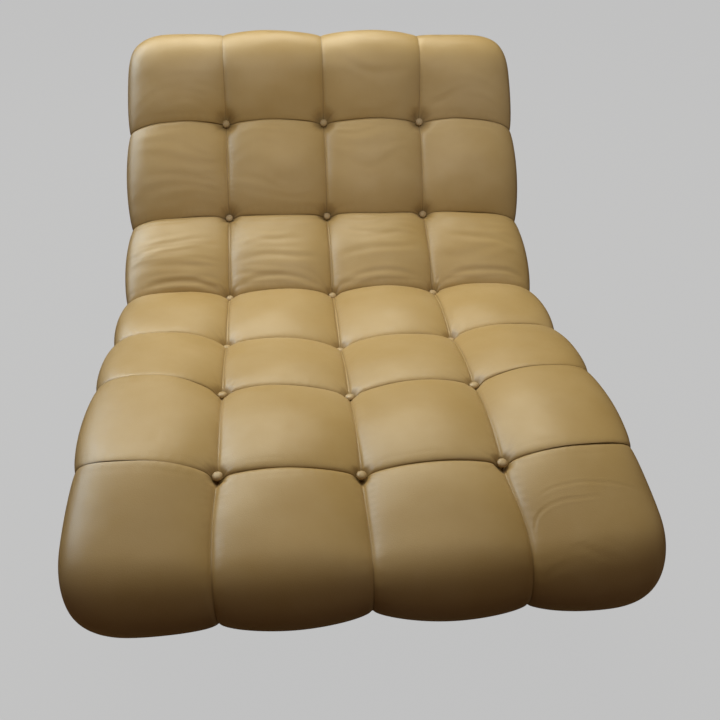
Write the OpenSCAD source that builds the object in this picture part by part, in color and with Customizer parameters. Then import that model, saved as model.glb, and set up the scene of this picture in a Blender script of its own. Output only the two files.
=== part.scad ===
// Tufted leather lounge chair: an armless S-shaped pad on a low steel base.
// X runs across the chair, the sitter faces -Y and Z is up. The origin lies on
// the floor, below the middle of the chair's bounding box.

/* [Tufting] */
// Width of one tuft, from button to button
tuft_w = 185; // [165:1:205]
// Length of one tuft, from button to button
tuft_l = 181; // [170:1:195]
// How far the seams across the chair rise between two buttons
seam_rise = 27; // [22:1:31]
// How far the seams along the chair rise between two buttons
column_rise = 19; // [14:1:23]
// How far a tuft's crown stands above its seams
crown = 14; // [9:1:18]
// How far the seat's outermost tufts stand above the others at their seams
outer_rise = 18; // [8:1:22]
// How far they stand above the others in their middles
outer_crown = 10; // [4:1:14]
// How far the side seams stand outside the outermost tufts' middle
side_reach = 86; // [80:1:94]
// How far a tuft puffs out sideways beyond its seams
side_puff = 10; // [4:1:14]
// How far the sides draw in below their widest line to the side welts
side_tuck = 7; // [5:1:13]
// How far the seat's middle buttons sink below the outer ones
seat_sag = 12; // [0:1:14]

/* [Profile] */
// Height of the lowest row of buttons above the floor
waist_h = 270; // [255:1:330]
// Slope of the top of the back
crest_slope = 61.7; // [57:0.1:67]
// Slope of the middle of the back
back_slope = 53.5; // [49:0.1:58]
// Slope of the lower back
lumbar_slope = 27.8; // [23:0.1:33]
// How the rear of the seat rises to the front
seat_rear_rise = 4.8; // [2:0.1:8]
// How the middle of the seat rises to the front
seat_mid_rise = 11.7; // [9:0.1:15]
// How the front of the seat rises to the front
seat_front_rise = 2.7; // [0:0.1:6]
// How the nose falls to the front
nose_fall = 20; // [16:0.1:25]
// Straight run above the highest buttons
crest_run = 103; // [96:1:114]
// Straight run in front of the foremost buttons
nose_run = 116; // [108:1:128]

/* [Pad] */
// Half of the pad's thickness below the buttons
core_half = 40; // [38:0.5:46]
// Depth of the filling under an outer button
fill_depth = 20; // [18:0.5:21]
// Half of the opening that the side welt closes
welt_half = 3; // [2.5:0.1:3.5]
// Thickness of the rear leather
leather = 3; // [2:0.1:4]
// Diameter of a button
button_d = 15; // [12:0.5:16]
// Height of a button's dome
button_dome = 6; // [4:0.5:8]
// Diameter of the tufting twine
twine_d = 2; // [1.5:0.1:3]
// Diameter of the washer behind each button
washer_d = 20; // [14:1:24]
// Thickness of that washer
washer_t = 1.2; // [0.8:0.1:1.8]

/* [Frame] */
// Diameter of the bent side tubes
side_tube_d = 22; // [20:0.5:24]
// Diameter of the cross tubes
cross_tube_d = 20; // [16:0.5:20]
// Wall of the frame's tubes
tube_wall = 1.5; // [1:0.1:2.5]
// Radius of the bends in the side tubes
bend_r = 60; // [40:1:62]
// Distance of a side tube from the middle of the chair
side_tube_x = 300; // [290:1:306]
// Width of a suspension strap
strap_w = 44; // [30:1:45]
// Thickness of a suspension strap
strap_t = 2; // [1.5:0.1:2.2]

/* [Base] */
// Distance between the middles of the base rails
base_w = 480; // [420:1:520]
// Length of the base rails
rail_l = 566; // [540:1:590]
// Distance of the rails' rear ends behind the lowest buttons
rail_rear = 70; // [50:1:95]
// Width and height of a rail
rail_size = 30; // [26:1:34]
// Wall of a rail
rail_wall = 2; // [1.5:0.1:3]
// Height of the rails' upper face above the floor
rail_top = 168; // [160:1:172]
// Diameter of the bosses that carry the frame
boss_d = 24; // [22:1:28]
// Distance of a leg's middle from the end of its rail
leg_inset = 22; // [20:1:40]
// Diameter of a leg
leg_d = 30; // [28:1:34]
// Wall of a leg
leg_wall = 2.5; // [2:0.1:3]

/* [Feet] */
// Diameter of a foot pad
pad_d = 36; // [32:1:44]
// Height of a foot pad
pad_h = 9; // [8:1:12]
// Diameter of a foot's threaded stud
stud_d = 8; // [6:0.5:10]
// Length of the stud above its pad
stud_l = 42; // [38:1:60]
// Height of the threaded insert in a leg
insert_h = 20; // [15:1:24]
// Diameter of the base bolts
bolt_d = 8; // [6:0.5:9]

/* [Hidden] */
$fn = 64;

// Tufts across and rows along the pad
columns = 4;
rows = 7;
// Gap left between soft pieces that lie on each other
soft_gap = 0.3;
// Running gap around a threaded stud or bolt
thread_gap = 0.05;
// Gap around anything that passes through foam or leather
pass_gap = 0.3;
// Gap between the frame's plane and the foam on either side of the straps
strap_gap = 0.3;
// Height of the pockets in the foam for the washers
pocket_h = 5;
// Turn of the round cuts in the foam, so that none starts on a bend of the pad
cut_turn = 45;
// How far a side tube runs on past the last cross tube
tube_overrun = 12;
// Where the cross tubes and straps lie, as parts of their rows
tube_part = 0.5;
front_tube_part = 0.45;
crest_strap_part = 0.5;
strap_parts = [0.25, 0.75];
nose_strap_parts = [0.27, 0.65];
// Bend radius of the side welts and how far they lie inside the outermost leather
welt_bend_r = 12;
welt_inset = 1;
// Sides of a swept tube and of a swept welt
tube_sides = 16;
welt_sides = 8;
// How far a cut runs on past the face it opens
past = 1;
// Squareness of the rounded sides, and how far their widest line lies below the buttons
side_power = 2.8;
side_level = -2;
// Sharpness of the seams, flatness of their arches, and radius and steepness of the pits round
// the buttons
seam_power = 0.6;
arch_power = 0.5;
pit_r = 10;
pit_power = 3;
// Part of the nose at which the outermost tufts have lost their extra height
outer_end = 0.55;
// Steps along a row, across half a tuft, around a side and from its widest line to the welt
row_steps = 10;
half_steps = 4;
side_steps = 6;
tuck_steps = 3;
// Steps round a bend of the frame and round an end of the foam
bend_steps = 4;
roll_steps = 20;
// Part of the end rows over which their tufts fade into the rear cover
fade_part = 0.4;
// How far the corners of the end rows draw in, the part of the nose over which they do, and what
// is left there of the sides' bulge and of their squareness
corner_draw = 6;
nose_corner = 0.6;
side_least = 0.15;
corner_power = 2.2;

// The button line, seen from the side as [y, z], from the back's top to the nose
function step(length, slope) = length * [cos(slope), sin(slope)];
waist = [0, 0];
lumbar = waist + step(tuft_l, lumbar_slope);
shoulder = lumbar + step(tuft_l, back_slope);
crest = shoulder + step(crest_run, crest_slope);
seat_rear = waist + step(tuft_l, 180 - seat_rear_rise);
seat_mid = seat_rear + step(tuft_l, 180 - seat_mid_rise);
seat_front = seat_mid + step(tuft_l, 180 - seat_front_rise);
nose = seat_front + step(nose_run, 180 + nose_fall);
raw_line = [crest, shoulder, lumbar, waist, seat_rear, seat_mid, seat_front, nose];

function unit(v) = v / norm(v);
function turn(v, a) = [v[0] * cos(a) - v[1] * sin(a), v[0] * sin(a) + v[1] * cos(a)];
function way(i) = unit(raw_line[i + 1] - raw_line[i]);
function face(i) = turn(way(i), -90);
// Offset vector at a point of the line: it keeps every layer parallel to the line
function mitre(i) =
  i == 0 ? face(0) :
  i == rows ? face(rows - 1) :
  (face(i - 1) + face(i)) / (1 + face(i - 1) * face(i));

// A station is [point, offset vector] at part v of row r, with the end rows rolled over the ends
roll_l = PI * core_half;
function mix(p, q, t) = p + (q - p) * t;
function chord(i, t) = [mix(raw_line[i], raw_line[i + 1], t), mix(mitre(i), mitre(i + 1), t)];
function rolled(i, a) =
  let (n = turn(mitre(i), a), c = raw_line[i] - core_half * mitre(i)) [c + core_half * n, n];
function raw_station(r, v) =
  r == 1 ? let (s = v * (roll_l + crest_run))
    s < roll_l ? rolled(0, -180 * (1 - s / roll_l)) : chord(0, (s - roll_l) / crest_run) :
  r == rows ? let (s = v * (roll_l + nose_run))
    s > nose_run ? rolled(rows, 180 * (s - nose_run) / roll_l) : chord(rows - 1, s / nose_run) :
  chord(r - 1, v);

// Height of a tuft over the line: a and b are 0 on its seams and 1 in its middle
function pit(a, b) =
  let (away = norm([tuft_w * asin(a), tuft_l * asin(b)]) / 180) 1 - exp(-pow(away / pit_r, pit_power));
function puff(a, b, extra) =
  let (across = pow(a, arch_power), along = pow(b, arch_power))
  pit(a, b) * (seam_rise * across + extra * a + column_rise * along * (1 - across) +
               crown * pow(a * b, seam_power));
function over(s) = max(0, min(1, s));
function from_end(r, v) = r == 1 ? v : r == rows ? 1 - v : 1;
function fade(r, v) = sin(90 * over(from_end(r, v) / fade_part));
function smooth(t) = t * t * (3 - 2 * t);
function grown_side(r, v) = r == rows ? smooth(over(from_end(r, v) / nose_corner)) : from_end(r, v);
// Extra height outside the outer buttons of the seat
function outer(r, x, v) =
  let (start = r == 3 ? sin(90 * v) : r == rows ? cos(90 * v / outer_end) : r > 3 ? 1 : 0,
       full = pow(sin(180 * v), seam_power))
  abs(x) > (columns / 2 - 1) * tuft_w ? start * mix(outer_rise, outer_crown, full) : 0;
// How far the seat sinks between the outer buttons
function sag(r, x, v) =
  let (side = max(0, 1 - abs(x) / tuft_w),
       start = r == 4 ? sin(90 * v) : r == rows ? cos(90 * v) : r > 4 ? 1 : 0)
  seat_sag * side * start * fade(r, v);
half_tuft = [for (i = [0:half_steps]) 0.5 - 0.5 * cos(90 * i / half_steps)];
function middle_part(r, v) = [
  for (c = [0:columns - 1], i = [0:2 * half_steps - 1])
    let (u = i < half_steps ? half_tuft[i] : 1 - half_tuft[2 * half_steps - i],
         x = (c + u - columns / 2) * tuft_w)
    if (c + u >= 0.5 && c + u < columns - 0.5)
      [x, puff(sin(180 * u), sin(180 * v), outer(r, x, v)) * fade(r, v) - sag(r, x, v)]
];
// A rounded side, from the welt out to its widest line and up over the outermost tuft
function side_part(r, v) =
  let (full = pow(sin(180 * v), seam_power),
       grown = grown_side(r, v),
       left = mix(side_least, 1, grown),
       power = mix(corner_power, side_power, grown),
       low = welt_half - core_half,
       level = mix(low, side_level, left),
       middle_x = (columns / 2 - 0.5) * tuft_w,
       top = (seam_rise + outer(r, middle_x, v) + crown * full) * fade(r, v),
       bulge = (side_tuck + side_puff * full) * left,
       reach = side_reach - side_tuck + bulge - corner_draw * (1 - grown))
  concat(
    [for (i = [0:tuck_steps - 1]) let (a = 90 * i / tuck_steps)
      [middle_x + reach - bulge * (1 - sin(a)), level - (level - low) * cos(a)]],
    [for (i = [0:side_steps]) let (a = 90 * i / side_steps)
      [middle_x + reach * pow(cos(a), 2 / power), level + (top - level) * pow(sin(a), 2 / power)]]);
function flip(list) = [for (i = [len(list) - 1:-1:0]) list[i]];
function mirrored(list) = [for (q = list) [-q[0], q[1]]];
function tuft_section(r, v) =
  let (side = side_part(r, v), middle = middle_part(r, v))
  concat(mirrored(side), [for (i = [1:len(middle) - 1]) middle[i]], flip(side));

// The chair stands centred on the origin: its box is measured on the tufts and the covers
function raw_points(r) = [
  for (k = [0:row_steps]) let (s = raw_station(r, k / row_steps), h = puff(1, sin(180 * k / row_steps), 0))
    s[0] + h * fade(r, k / row_steps) * s[1]
];
back_y = [for (p = raw_points(1)) p[0]];
nose_y = [for (p = raw_points(rows)) p[0]];
origin_shift = [-(max(back_y) + min(nose_y)) / 2, waist_h];
function station(r, v) = let (s = raw_station(r, v)) [s[0] + origin_shift, s[1]];
function line_point(i, h) = raw_line[i] + origin_shift + h * mitre(i);
function row_point(r, t, h) = mix(line_point(r - 1, h), line_point(r, h), t);

// The frame's plane, the sides of the space inside the upholstery and the base
frame_h = -core_half;
strap_loop_r = side_tube_d / 2 + strap_gap + strap_t;
inner_side = side_tube_x + strap_loop_r + soft_gap;
foam_side = side_tube_x - strap_loop_r - soft_gap;
foam_w = 2 * foam_side;
side_x = (columns / 2 - 0.5) * tuft_w + side_reach - side_tuck;
rail_y_rear = origin_shift[0] + rail_rear;
rail_y_front = rail_y_rear - rail_l;
leg_ys = [rail_y_front + leg_inset, rail_y_rear - leg_inset];
rail_low = rail_top - rail_size;
leg_low = pad_h + soft_gap;
// Half of the gap in a seam, wide enough for the twines
seam_gap = twine_d / 2 + soft_gap;

// Turns a drawing in [y, z] into a solid that runs across the chair, centred
module across(width) {
  translate([-width / 2, 0, 0]) rotate([90, 0, 90]) linear_extrude(width) children();
}

// A round bar across the chair at a point [y, z]
module bar_across(p, d, length) {
  translate([0, p[0], p[1]]) rotate([0, 90, 0]) cylinder(d = d, h = length, center = true);
}

// Closed solid from rings of [x, height] outlines, one for each station. An outline runs
// from the side welt over the pad to the other welt, and inner holds the four corners of the
// space inside, from the outline's end back to its start.
function lift(s, q) = [q[0], s[0][0] + q[1] * s[1][0], s[0][1] + q[1] * s[1][1]];
function skin_faces(count, n) = [
  for (i = [0:count - 2], j = [0:n - 1], half = [0, 1])
    let (a = i * n + j, b = i * n + (j + 1) % n)
    half == 0 ? [a, b + n, b] : [a, a + n, b + n]
];
function corner(outline, inner, j) =
  let (n = len(outline) + 4,
       low = abs(outline[j][1] - frame_h) < abs(inner[1][1] - frame_h),
       start = outline[j][0] * outline[0][0] > 0)
  start ? (low ? n - 1 : n - 2) : (low ? n - 4 : n - 3);
function end_faces(outline, inner) = [
  for (j = [0:len(outline) - 2], half = [0, 1])
    let (k = corner(outline, inner, j), next = corner(outline, inner, j + 1))
    if (half == 0 || k != next) half == 0 ? [j, j + 1, k] : [j + 1, next, k]
];
module skin(stations, outlines, inner) {
  n = len(outlines[0]) + 4;
  count = len(stations);
  last = (count - 1) * n;
  points = [for (i = [0:count - 1], q = concat(outlines[i], inner)) lift(stations[i], q)];
  front = end_faces(outlines[0], inner);
  back = [for (f = end_faces(outlines[count - 1], inner)) [f[0] + last, f[2] + last, f[1] + last]];
  polyhedron(points, concat(skin_faces(count, n), front, back), convexity = 6);
}

// Places its children at each button of row i, with Z square to the pad, sunk with the
// buttons where asked
module each_button(i, sunk) {
  p = line_point(i, 0);
  for (c = [1:columns - 1]) {
    x = (c - columns / 2) * tuft_w;
    translate([x, p[0], p[1]])
      rotate([-atan2(mitre(i)[0], mitre(i)[1]), 0, 0])
        translate([0, 0, sunk ? -sag(i + 1, x, 0) : 0])
          children();
  }
}
module twine_holes(i) {
  each_button(i, false)
    translate([0, 0, frame_h - washer_t])
      rotate([0, 0, cut_turn])
        cylinder(d = twine_d + 2 * pass_gap, h = core_half);
}
module washer_pockets(i) {
  each_button(i, false)
    translate([0, 0, frame_h])
      rotate([0, 0, cut_turn])
        cylinder(d = washer_d + 2 * pass_gap, h = pocket_h, center = true);
}

// Steel frame
function frame_point(i) = line_point(i, frame_h);
function bend(i) = let (a = way(i - 1), b = way(i)) asin(a[0] * b[1] - a[1] * b[0]);
// Stations along the frame's line, with a bend of this radius at each corner
function bent_line(radius, overrun) = concat(
  [[frame_point(0) - overrun * way(0), face(0)]],
  [for (i = [1:rows - 1], t = [0:bend_steps])
    let (hollow = bend(i) < 0 ? 1 : -1,
         centre = frame_point(i) + hollow * radius / cos(bend(i) / 2) * unit(mitre(i)),
         n = turn(face(i - 1), bend(i) * t / bend_steps))
    [centre - hollow * radius * n, n]],
  [[frame_point(rows) + overrun * way(rows - 1), face(rows - 1)]]
);
// A bent round bar, or a tube where it has a wall, as one swept solid
module bent_bar(x, d, wall, radius, overrun, sides) {
  stations = bent_line(radius, overrun);
  count = len(stations);
  radii = wall > 0 ? [d / 2, d / 2 - wall] : [d / 2];
  n = sides * len(radii);
  last = (count - 1) * n;
  points = [
    for (s = stations, r = radii, j = [0:sides - 1])
      let (a = 360 * j / sides) lift(s, [x + r * cos(a), r * sin(a)])
  ];
  walls = [
    for (i = [0:count - 2], ring = [0:len(radii) - 1], j = [0:sides - 1], half = [0, 1])
      let (p = i * n + ring * sides + j, q = i * n + ring * sides + (j + 1) % sides,
           f = half == 0 ? [p, q + n, q] : [p, p + n, q + n])
      ring == 0 ? f : flip(f)
  ];
  ends = wall > 0
    ? [for (j = [0:sides - 1], half = [0, 1])
        let (p = j, q = (j + 1) % sides) half == 0 ? [p, q, q + sides] : [p, q + sides, p + sides]]
    : [for (j = [1:sides - 2]) [0, j, j + 1]];
  polyhedron(points, concat(walls, ends, [for (f = ends) flip(f) + [last, last, last]]), convexity = 6);
}
module tube_ring(d, wall) {
  difference() {
    circle(d = d);
    circle(d = d - 2 * wall);
  }
}
module side_tube(side) {
  color("dimgray")
    bent_bar(side * side_tube_x, side_tube_d, tube_wall, bend_r, tube_overrun, tube_sides);
}
// A cross tube at part t of row r, coped onto the side tubes
module cross_tube(r, t) {
  p = row_point(r, t, frame_h);
  d = way(r - 1);
  color("dimgray")
    difference() {
      bar_across(p, cross_tube_d, 2 * side_tube_x);
      bar_across(p, cross_tube_d - 2 * tube_wall, 2 * side_tube_x);
      for (side = [-1, 1])
        translate([side * side_tube_x, p[0], p[1]])
          rotate([-atan2(d[0], d[1]), 0, 0])
            cylinder(d = side_tube_d, h = 4 * cross_tube_d, center = true);
    }
}
boss_places = [row_point(4, tube_part, frame_h), row_point(6, front_tube_part, frame_h)];
module frame_bosses() {
  color("dimgray")
    for (side = [-1, 1], p = boss_places)
      difference() {
        translate([side * base_w / 2, p[0], rail_top]) cylinder(d = boss_d, h = p[1] - rail_top);
        bar_across(p, cross_tube_d, 2 * side_tube_x);
        translate([side * base_w / 2, p[0], rail_top - past]) cylinder(d = bolt_d, h = bolt_reach + 2 * past);
      }
}
module boss_holes() {
  for (side = [-1, 1], p = boss_places)
    translate([side * base_w / 2, p[0], rail_top])
      cylinder(d = boss_d + 2 * pass_gap, h = p[1] - rail_top);
}

// Suspension straps, sewn into loops round the side tubes
module strap(r, t) {
  p = row_point(r, t, frame_h);
  d = way(r - 1);
  inner_r = side_tube_d / 2 + strap_gap;
  translate([0, p[0], p[1]])
    rotate([-atan2(d[0], d[1]), 0, 0]) {
      cube([2 * (side_tube_x - inner_r - strap_t / 2), strap_t, strap_w], center = true);
      for (side = [-1, 1])
        translate([side * side_tube_x, 0, -strap_w / 2])
          linear_extrude(strap_w)
            difference() {
              circle(r = inner_r + strap_t);
              circle(r = inner_r);
            }
    }
}
module back_straps() {
  color("saddlebrown") {
    strap(1, crest_strap_part);
    for (r = [2, 3], t = strap_parts) strap(r, t);
  }
}
module seat_straps() {
  color("saddlebrown") {
    for (r = [4, 5, 6], t = strap_parts) strap(r, t);
    for (t = nose_strap_parts) strap(rows, t);
  }
}

// Foam: a layer in front of the straps, rolled round the end tubes and pierced by the twines,
// and an underlay behind them. Between back and seat the twines pass in the front layer's gap.
foam_high = -fill_depth - soft_gap;
foam_low = frame_h + strap_t / 2 + strap_gap;
under_high = frame_h - strap_t / 2 - strap_gap;
under_low = leather + soft_gap - 2 * core_half;
function rolled_edge(i, h) = [
  for (k = [0:roll_steps])
    let (a = 180 * (i == 0 ? k / roll_steps - 1 : k / roll_steps), s = rolled(i, a))
    s[0] + origin_shift + h * s[1]
];
function block_end(i, h, inward, gap) =
  i == 0 || i == rows ? line_point(i, h) :
  inward > 0 ? row_point(i + 1, gap / tuft_l, h) : row_point(i, 1 - gap / tuft_l, h);
// The foam's rolls stay clear of the flat faces inside the end rows
function roll_high(r) =
  (core_half - fill_depth) * cos(90 * row_length(r) / row_steps / roll_l) - soft_gap - core_half;
module layer(first, last, high, low, front) {
  gap = front ? seam_gap : soft_gap / 2;
  polygon(concat(
    front && first == 0 ? rolled_edge(0, roll_high(1)) : [block_end(first, high, 1, gap)],
    [for (i = [first + 1:last - 1]) line_point(i, high)],
    front && last == rows ? rolled_edge(rows, roll_high(rows)) : [block_end(last, high, -1, gap)],
    [block_end(last, low, -1, gap)],
    [for (i = [last - 1:-1:first + 1]) line_point(i, low)],
    [block_end(first, low, 1, gap)]
  ));
}
module tube_cuts() {
  for (p = [frame_point(0), frame_point(rows), row_point(3, tube_part, frame_h), boss_places[0],
            boss_places[1]])
    translate(p) circle(d = cross_tube_d + 2 * pass_gap);
}
module foam_block(first, last, high, low, front) {
  difference() {
    across(foam_w)
      difference() {
        layer(first, last, high, low, front);
        tube_cuts();
      }
    if (front) for (i = [first + 1:last - 1]) twine_holes(i);
    for (i = [max(first, 1):min(last, rows - 1)]) washer_pockets(i);
  }
}
module back_foam() { color("khaki") foam_block(0, 3, foam_high, foam_low, true); }
module seat_foam() { color("khaki") foam_block(3, rows, foam_high, foam_low, true); }
module back_underlay() { color("khaki") foam_block(0, 3, under_high, under_low, false); }
module seat_underlay() {
  color("khaki")
    difference() {
      foam_block(3, rows, under_high, under_low, false);
      boss_holes();
    }
}

// Leather with its filling: one row of tufts, which leaves room in its seams for the twines
function row_length(r) = r == 1 ? roll_l + crest_run : r == rows ? roll_l + nose_run : tuft_l;
function row_part(r, k) = let (e = seam_gap / row_length(r)) mix(e, 1 - e, k / row_steps);
module tuft_row(r) {
  low = frame_h + welt_half;
  color("burlywood")
    skin([for (k = [0:row_steps]) station(r, row_part(r, k))],
         [for (k = [0:row_steps]) tuft_section(r, k / row_steps)],
         [[inner_side, low], [inner_side, -fill_depth], [-inner_side, -fill_depth], [-inner_side, low]]);
}

// Rear leather over the underlay and the lower half of the sides
cover_high = frame_h - welt_half;
cover_side = [for (i = [0:side_steps]) let (a = 90 * i / side_steps)
  [(columns / 2 - 0.5) * tuft_w + (side_reach - side_tuck) * pow(cos(a), 2 / side_power),
   cover_high - (core_half - welt_half) * pow(sin(a), 2 / side_power)]];
module cover(first, last) {
  floor_h = leather - 2 * core_half;
  stations = [for (i = [first:last])
    let (e = soft_gap / 2 / tuft_l * (i == first ? 1 : i == last ? -1 : 0), j = i == last ? i - 1 : i)
    e == 0 ? [line_point(i, 0), mitre(i)] :
    let (t = i == last ? 1 + e : e) [row_point(j + 1, t, 0), mix(mitre(j), mitre(j + 1), t)]];
  outline = concat(cover_side, mirrored(flip(cover_side)));
  skin(stations, [for (s = stations) outline],
       [[-inner_side, cover_high], [-inner_side, floor_h], [inner_side, floor_h], [inner_side, cover_high]]);
}
module back_cover() { color("burlywood") cover(0, 3); }
module seat_cover() {
  color("burlywood")
    difference() {
      cover(3, rows);
      boss_holes();
    }
}
module side_welt(side) {
  d = 2 * (welt_half - soft_gap);
  color("burlywood") bent_bar(side * (side_x - welt_inset), d, 0, welt_bend_r, 0, welt_sides);
}

// Buttons and the twines that draw them in
button_low = 1.2;
button_seat = puff(sin(90 * button_d / tuft_w), sin(90 * button_d / tuft_l), 0) + soft_gap;
module button() {
  dome_r = (pow(button_d / 2, 2) + pow(button_dome, 2)) / (2 * button_dome);
  rotate_extrude() {
    polygon([[0, button_low], [twine_d, button_low], [button_d / 2, button_seat], [0, button_seat]]);
    intersection() {
      translate([0, button_seat + button_dome - dome_r]) circle(r = dome_r);
      translate([0, button_seat]) square([button_d / 2, button_dome]);
    }
  }
}
module buttons_row(i) { color("peru") each_button(i, true) button(); }
module tufting_twines() {
  color("ivory")
    for (i = [1:rows - 1]) {
      p = line_point(i, 0);
      for (c = [1:columns - 1]) {
        x = (c - columns / 2) * tuft_w;
        low = frame_h + washer_t / 2;
        translate([x, p[0], p[1]])
          rotate([-atan2(mitre(i)[0], mitre(i)[1]), 0, 0])
            translate([0, 0, low])
              cylinder(d = twine_d, h = button_low - sag(i + 1, x, 0) - low);
      }
    }
}
module twine_washers() {
  color("silver")
    for (i = [1:rows - 1])
      each_button(i, false) translate([0, 0, frame_h]) cylinder(d = washer_d, h = washer_t, center = true);
}

// Base
bolt_reach = 14;
bolt_head = 5.3;
bolt_head_ratio = 1.9;
cap_t = 3;
cap_plug = 6;
module rail(side) {
  color("silver")
    difference() {
      translate([side * base_w / 2 - rail_size / 2, rail_y_front, rail_low])
        cube([rail_size, rail_l, rail_size]);
      translate([side * base_w / 2 - rail_size / 2 + rail_wall, rail_y_front - past, rail_low + rail_wall])
        cube([rail_size - 2 * rail_wall, rail_l + 2 * past, rail_size - 2 * rail_wall]);
      for (p = boss_places)
        translate([side * base_w / 2, p[0], rail_low - past])
          cylinder(d = bolt_d + 2 * pass_gap, h = rail_size + 2 * past);
    }
}
module rail_caps() {
  inner = rail_size - 2 * rail_wall - 2 * thread_gap;
  color("dimgray")
    for (side = [-1, 1], y = [rail_y_front, rail_y_rear]) {
      way_out = y == rail_y_front ? -1 : 1;
      translate([side * base_w / 2, y, rail_top - rail_size / 2]) {
        translate([0, way_out * cap_t / 2, 0]) cube([rail_size, cap_t, rail_size], center = true);
        translate([0, -way_out * cap_plug / 2, 0]) cube([inner, cap_plug, inner], center = true);
      }
    }
}
module base_bar(y) {
  inner = rail_size - 2 * rail_wall;
  color("silver")
    translate([0, y, rail_top - rail_size / 2])
      difference() {
        cube([base_w - rail_size, rail_size, rail_size], center = true);
        cube([base_w, inner, inner], center = true);
      }
}
module base_bolts() {
  color("gray")
    for (side = [-1, 1], p = boss_places)
      translate([side * base_w / 2, p[0], rail_low]) {
        cylinder(d = bolt_d - 2 * thread_gap, h = rail_size + bolt_reach);
        translate([0, 0, -bolt_head]) cylinder(d = bolt_head_ratio * bolt_d, h = bolt_head, $fn = 6);
      }
}
module at_leg(side, k) { translate([side * base_w / 2, leg_ys[k], 0]) children(); }
module leg(side, k) {
  color("silver")
    at_leg(side, k)
      translate([0, 0, leg_low])
        linear_extrude(rail_low - leg_low)
          tube_ring(leg_d, leg_wall);
}
module leg_inserts() {
  color("gray")
    for (side = [-1, 1], k = [0, 1])
      at_leg(side, k)
        translate([0, 0, leg_low])
          difference() {
            cylinder(d = leg_d - 2 * leg_wall - 2 * thread_gap, h = insert_h);
            translate([0, 0, -past]) cylinder(d = stud_d + 2 * thread_gap, h = insert_h + 2 * past);
          }
}
// Levelling feet: a pad moulded on a threaded stud
socket_h = 6;
pad_edge = 1.5;
module foot_pad(side, k) {
  color("dimgray")
    at_leg(side, k)
      difference() {
        rotate_extrude()
          polygon([[0, 0], [pad_d / 2 - pad_edge, 0], [pad_d / 2, pad_edge], [pad_d / 2, pad_h - pad_edge],
                   [pad_d / 2 - pad_edge, pad_h], [0, pad_h]]);
        translate([0, 0, pad_h - socket_h]) cylinder(d = stud_d, h = socket_h + past);
      }
}
module foot_stud(side, k) {
  color("gray")
    at_leg(side, k)
      translate([0, 0, pad_h - socket_h]) cylinder(d = stud_d, h = stud_l + socket_h);
}

side_tube(-1);  // side_tube_left
side_tube(1);  // side_tube_right
cross_tube(1, 0);  // crest_tube
cross_tube(3, tube_part);  // lumbar_tube
cross_tube(4, tube_part);  // seat_rear_tube
cross_tube(6, front_tube_part);  // seat_front_tube
cross_tube(rows, 1);  // nose_tube
back_straps();
seat_straps();
frame_bosses();
back_foam();
seat_foam();
back_underlay();
seat_underlay();
tuft_row(1);  // tuft_row_1
tuft_row(2);  // tuft_row_2
tuft_row(3);  // tuft_row_3
tuft_row(4);  // tuft_row_4
tuft_row(5);  // tuft_row_5
tuft_row(6);  // tuft_row_6
tuft_row(rows);  // tuft_row_7
buttons_row(1);  // buttons_row_1
buttons_row(2);  // buttons_row_2
buttons_row(3);  // buttons_row_3
buttons_row(4);  // buttons_row_4
buttons_row(5);  // buttons_row_5
buttons_row(6);  // buttons_row_6
tufting_twines();
twine_washers();
back_cover();
seat_cover();
side_welt(-1);  // side_welt_left
side_welt(1);  // side_welt_right
rail(-1);  // rail_left
rail(1);  // rail_right
rail_caps();
base_bar(leg_ys[0]);  // base_bar_front
base_bar(leg_ys[1]);  // base_bar_rear
base_bolts();
leg(-1, 0);  // leg_front_left
leg(1, 0);  // leg_front_right
leg(-1, 1);  // leg_rear_left
leg(1, 1);  // leg_rear_right
leg_inserts();
foot_pad(-1, 0);  // foot_pad_front_left
foot_pad(1, 0);  // foot_pad_front_right
foot_pad(-1, 1);  // foot_pad_rear_left
foot_pad(1, 1);  // foot_pad_rear_right
foot_stud(-1, 0);  // foot_stud_front_left
foot_stud(1, 0);  // foot_stud_front_right
foot_stud(-1, 1);  // foot_stud_rear_left
foot_stud(1, 1);  // foot_stud_rear_right
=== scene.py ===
# Tufted leather lounge chair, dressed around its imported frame
import random
from math import asin, atan2, cos, exp, hypot, pi, radians, sin, tan
import bpy
import bmesh
import numpy as np
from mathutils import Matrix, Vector, noise


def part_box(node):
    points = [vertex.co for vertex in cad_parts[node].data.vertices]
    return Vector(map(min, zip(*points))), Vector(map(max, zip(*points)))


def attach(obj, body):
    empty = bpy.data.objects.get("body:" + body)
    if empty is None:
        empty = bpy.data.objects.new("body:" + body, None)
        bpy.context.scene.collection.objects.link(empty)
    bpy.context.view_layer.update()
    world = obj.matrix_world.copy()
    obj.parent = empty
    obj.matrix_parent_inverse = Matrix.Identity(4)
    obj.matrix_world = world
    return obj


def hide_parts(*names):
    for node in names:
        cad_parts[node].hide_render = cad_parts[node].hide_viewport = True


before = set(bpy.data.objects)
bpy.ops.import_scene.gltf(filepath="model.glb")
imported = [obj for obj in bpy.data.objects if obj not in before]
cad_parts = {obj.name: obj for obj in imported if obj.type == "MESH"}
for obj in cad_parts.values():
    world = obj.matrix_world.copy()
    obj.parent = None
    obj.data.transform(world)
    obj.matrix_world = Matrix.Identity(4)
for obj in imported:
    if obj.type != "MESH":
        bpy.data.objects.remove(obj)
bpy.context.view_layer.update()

chairBody = "chair"  # what every new piece rides


# Small helpers

def pick(*objs):
    bpy.ops.object.select_all(action="DESELECT")
    for obj in objs:
        obj.select_set(True)
    bpy.context.view_layer.objects.active = objs[0]


def newest(name):  # the primitive just added, under its own name
    obj = bpy.context.active_object
    obj.name = name
    obj.data.name = name
    return obj


def settle(obj):  # writes the object's place, turn and size into its mesh
    pick(obj)
    bpy.ops.object.transform_apply(location=True, rotation=True, scale=True)


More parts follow.
